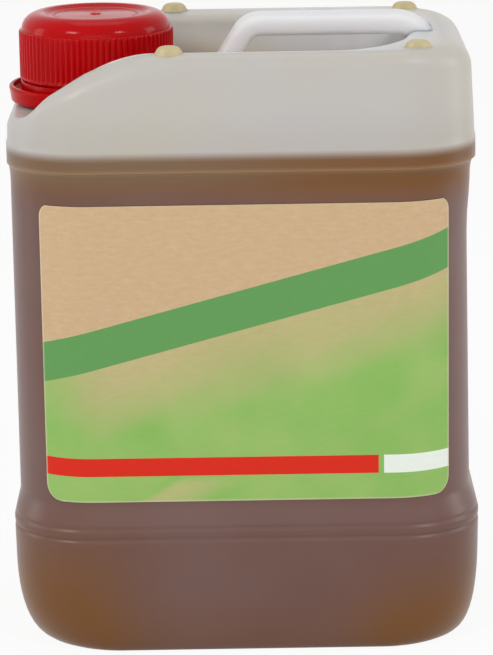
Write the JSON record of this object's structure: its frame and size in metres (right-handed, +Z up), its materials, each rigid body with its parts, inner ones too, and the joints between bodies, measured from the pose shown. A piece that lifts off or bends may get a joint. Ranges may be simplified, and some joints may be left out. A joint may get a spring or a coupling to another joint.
{
  "type": "jug of chain oil",
  "caption": "Stackable translucent plastic oil can with a moulded-in handle, a ribbed red screw cap with a break ring, brown oil inside and a wrap-round front label.",
  "frame": {"origin": "middle of the base, on the surface the can stands on", "axes": "+Z up, X along the width with the cap at -X, -Y towards the labelled front"},
  "size_m": [0.1596, 0.1088, 0.2128],
  "materials": {
    "natural_polyethylene": "translucent natural HDPE, satin from the blow mould",
    "brown_oil": "clear brown oil",
    "kraft_label": "printed paper, kraft brown above and green below",
    "red_polypropylene": "satin moulded polypropylene with fine upright ribs",
    "white_liner": "soft white foamed disc",
    "red_ring": "satin moulded polypropylene"
  },
  "bodies": {
    "jug": {"can": "natural_polyethylene", "oil": "brown_oil", "label": "kraft_label", "tamper_ring": "red_ring"},
    "seal": {"cap_liner": "white_liner"},
    "cap": {"screw_cap": "red_polypropylene"}
  },
  "joints": [
    {"name": "cap_lift", "type": "slide", "parent": "jug", "child": "seal", "axis": [0, 0, 1], "range_m": [0, 0.024]},
    {"name": "cap_turn", "type": "hinge", "parent": "seal", "child": "cap", "pos_m": [-0.0488, 0, 0.2], "axis": [0, 0, 1], "range_deg": [0, 1440]}
  ],
  "couplings": [
    {"joint": "cap_turn", "follows": "cap_lift", "rad_per_m": 1047}
  ]
}
